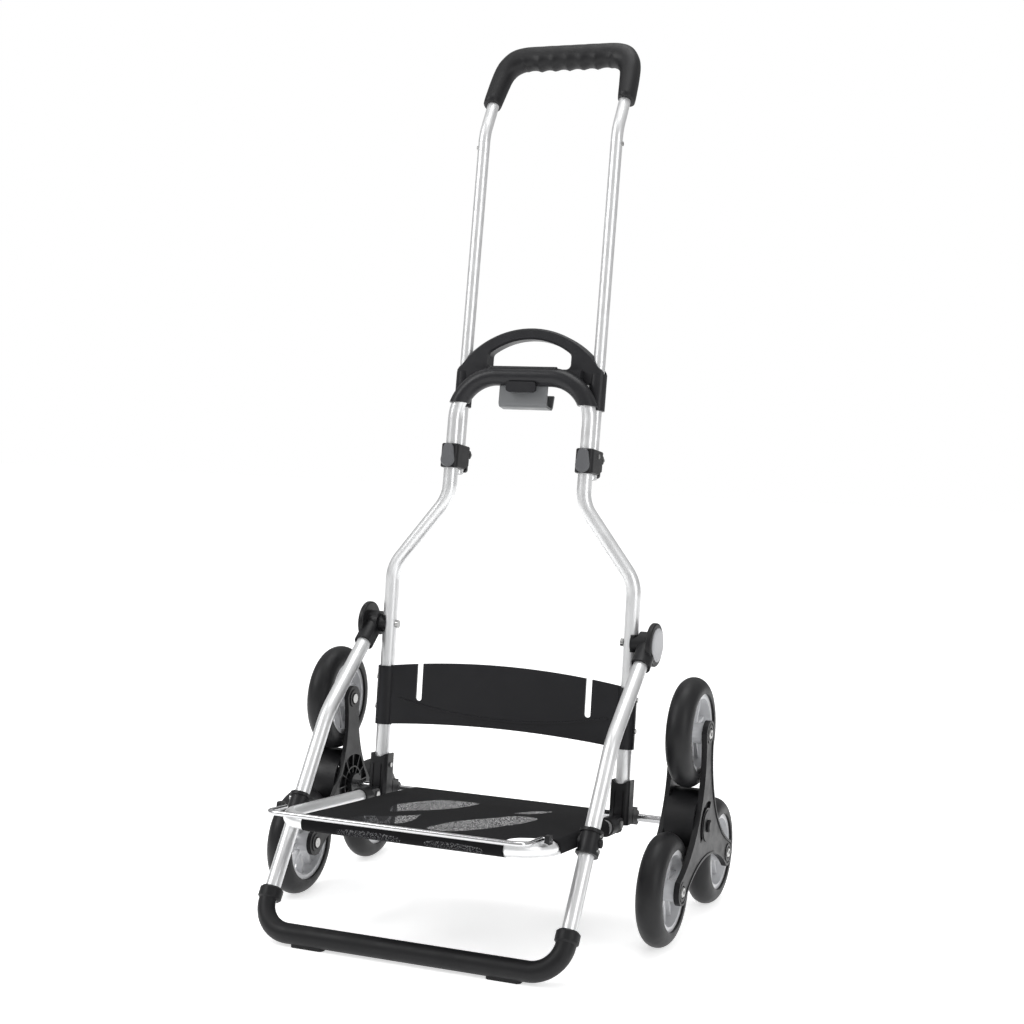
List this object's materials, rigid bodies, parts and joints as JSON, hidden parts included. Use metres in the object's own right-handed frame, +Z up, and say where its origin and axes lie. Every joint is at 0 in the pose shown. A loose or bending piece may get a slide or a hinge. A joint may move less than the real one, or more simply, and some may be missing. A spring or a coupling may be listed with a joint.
{
  "type": "shopping trolley",
  "caption": "Folding shopping trolley frame with telescopic handle, fabric load platform, support leg and stair-climbing tri-wheel carriers.",
  "frame": {"origin": "centre of the bottom of the whole object, on the floor", "axes": "+X across the trolley to its right seen from the front, -Y to the front where the load stands, +Z up"},
  "size_m": [0.5658, 0.5412, 1.1545],
  "materials": {
    "bush_plastic": "smooth",
    "charcoal_plastic": "fine grain",
    "chrome": "bright chrome",
    "cloth": "woven, with mesh windows",
    "foot_rubber": "matt",
    "grey_plastic": "satin",
    "grip_plastic": "fine grain",
    "handle_plastic": "fine grain",
    "hook_plastic": "satin",
    "pale_plastic": "satin",
    "panel_plastic": "fine grain",
    "rim_plastic": "silver grey, satin",
    "satin_tube": "satin anodised",
    "tyre_rubber": "smooth",
    "zinc": "zinc plated"
  },
  "bodies": {
    "frame": {"main_frame_tube": "satin_tube", "carry_handle_front": "handle_plastic", "carry_handle_rear": "handle_plastic", "carry_handle_screws": "zinc", "slide_bushes": "bush_plastic", "bag_hook": "hook_plastic", "clamp_body_left": "charcoal_plastic", "clamp_body_right": "charcoal_plastic", "clamp_plates": "grey_plastic", "clamp_shoes": "bush_plastic", "clamp_pins": "zinc", "back_panel": "panel_plastic", "frame_screws": "zinc", "hinge_saddles": "charcoal_plastic", "hinge_bolts": "zinc", "bracket_left": "charcoal_plastic", "bracket_right": "charcoal_plastic", "axle_rod": "chrome", "axle_caps": "charcoal_plastic"},
    "handle": {"telescopic_tube": "satin_tube", "grip_front_shell": "grip_plastic", "grip_rear_shell": "grip_plastic", "handle_rivets": "zinc"},
    "lever_left": {"clamp_lever_left": "charcoal_plastic"},
    "lever_right": {"clamp_lever_right": "charcoal_plastic"},
    "leg": {"support_leg_tube": "satin_tube", "foot_sleeve": "foot_rubber", "leg_socket_left": "charcoal_plastic", "leg_socket_right": "charcoal_plastic", "hinge_caps": "pale_plastic", "leg_collars": "charcoal_plastic", "collar_screws": "zinc"},
    "platform": {"platform_tube": "satin_tube", "platform_fabric": "cloth", "platform_fitting_left": "charcoal_plastic", "platform_fitting_right": "charcoal_plastic", "platform_pins": "zinc", "bail_clips": "charcoal_plastic"},
    "bail": {"platform_bail": "chrome"},
    "carrier_left": {"carrier_outer_left": "charcoal_plastic", "carrier_inner_left": "charcoal_plastic", "wheel_bolts_left": "zinc", "wheel_spacers_left": "zinc"},
    "wheel_left_top": {"tyre_left_top": "tyre_rubber", "rim_left_top": "rim_plastic"},
    "wheel_left_front": {"tyre_left_front": "tyre_rubber", "rim_left_front": "rim_plastic"},
    "wheel_left_rear": {"tyre_left_rear": "tyre_rubber", "rim_left_rear": "rim_plastic"},
    "carrier_right": {"carrier_outer_right": "charcoal_plastic", "carrier_inner_right": "charcoal_plastic", "wheel_bolts_right": "zinc", "wheel_spacers_right": "zinc"},
    "wheel_right_top": {"tyre_right_top": "tyre_rubber", "rim_right_top": "rim_plastic"},
    "wheel_right_front": {"tyre_right_front": "tyre_rubber", "rim_right_front": "rim_plastic"},
    "wheel_right_rear": {"tyre_right_rear": "tyre_rubber", "rim_right_rear": "rim_plastic"}
  },
  "joints": [
    {"name": "handle_slide", "type": "slide", "parent": "frame", "child": "handle", "axis": [0, 0.1513, 0.9885], "range_m": [-0.28, 0]},
    {"name": "clamp_left", "type": "hinge", "parent": "frame", "child": "lever_left", "pos_m": [-0.0956, 0.13137, 0.58436], "axis": [1, 0, 0], "range_deg": [0, 100]},
    {"name": "clamp_right", "type": "hinge", "parent": "frame", "child": "lever_right", "pos_m": [0.0956, 0.13137, 0.58436], "axis": [1, 0, 0], "range_deg": [0, 100]},
    {"name": "leg_fold", "type": "hinge", "parent": "frame", "child": "leg", "pos_m": [0, 0.06742, 0.3557], "axis": [1, 0, 0], "range_deg": [0, 42]},
    {"name": "platform_fold", "type": "hinge", "parent": "frame", "child": "platform", "pos_m": [0, 0.01891, 0.13156], "axis": [-1, 0, 0], "range_deg": [0, 88]},
    {"name": "bail_swing", "type": "hinge", "parent": "platform", "child": "bail", "pos_m": [0, -0.21679, 0.16691], "axis": [1, 0, 0], "range_deg": [-100, 0]},
    {"name": "carrier_spin_left", "type": "hinge", "parent": "frame", "child": "carrier_left", "pos_m": [-0.2527, 0.07469, 0.129], "axis": [1, 0, 0], "continuous": true},
    {"name": "wheel_spin_left_top", "type": "hinge", "parent": "carrier_left", "child": "wheel_left_top", "pos_m": [-0.2527, 0.07469, 0.247], "axis": [1, 0, 0], "continuous": true},
    {"name": "wheel_spin_left_front", "type": "hinge", "parent": "carrier_left", "child": "wheel_left_front", "pos_m": [-0.2527, -0.0275, 0.07], "axis": [1, 0, 0], "continuous": true},
    {"name": "wheel_spin_left_rear", "type": "hinge", "parent": "carrier_left", "child": "wheel_left_rear", "pos_m": [-0.2527, 0.17688, 0.07], "axis": [1, 0, 0], "continuous": true},
    {"name": "carrier_spin_right", "type": "hinge", "parent": "frame", "child": "carrier_right", "pos_m": [0.2527, 0.07469, 0.129], "axis": [1, 0, 0], "continuous": true},
    {"name": "wheel_spin_right_top", "type": "hinge", "parent": "carrier_right", "child": "wheel_right_top", "pos_m": [0.2527, 0.07469, 0.247], "axis": [1, 0, 0], "continuous": true},
    {"name": "wheel_spin_right_front", "type": "hinge", "parent": "carrier_right", "child": "wheel_right_front", "pos_m": [0.2527, -0.0275, 0.07], "axis": [1, 0, 0], "continuous": true},
    {"name": "wheel_spin_right_rear", "type": "hinge", "parent": "carrier_right", "child": "wheel_right_rear", "pos_m": [0.2527, 0.17688, 0.07], "axis": [1, 0, 0], "continuous": true}
  ]
}
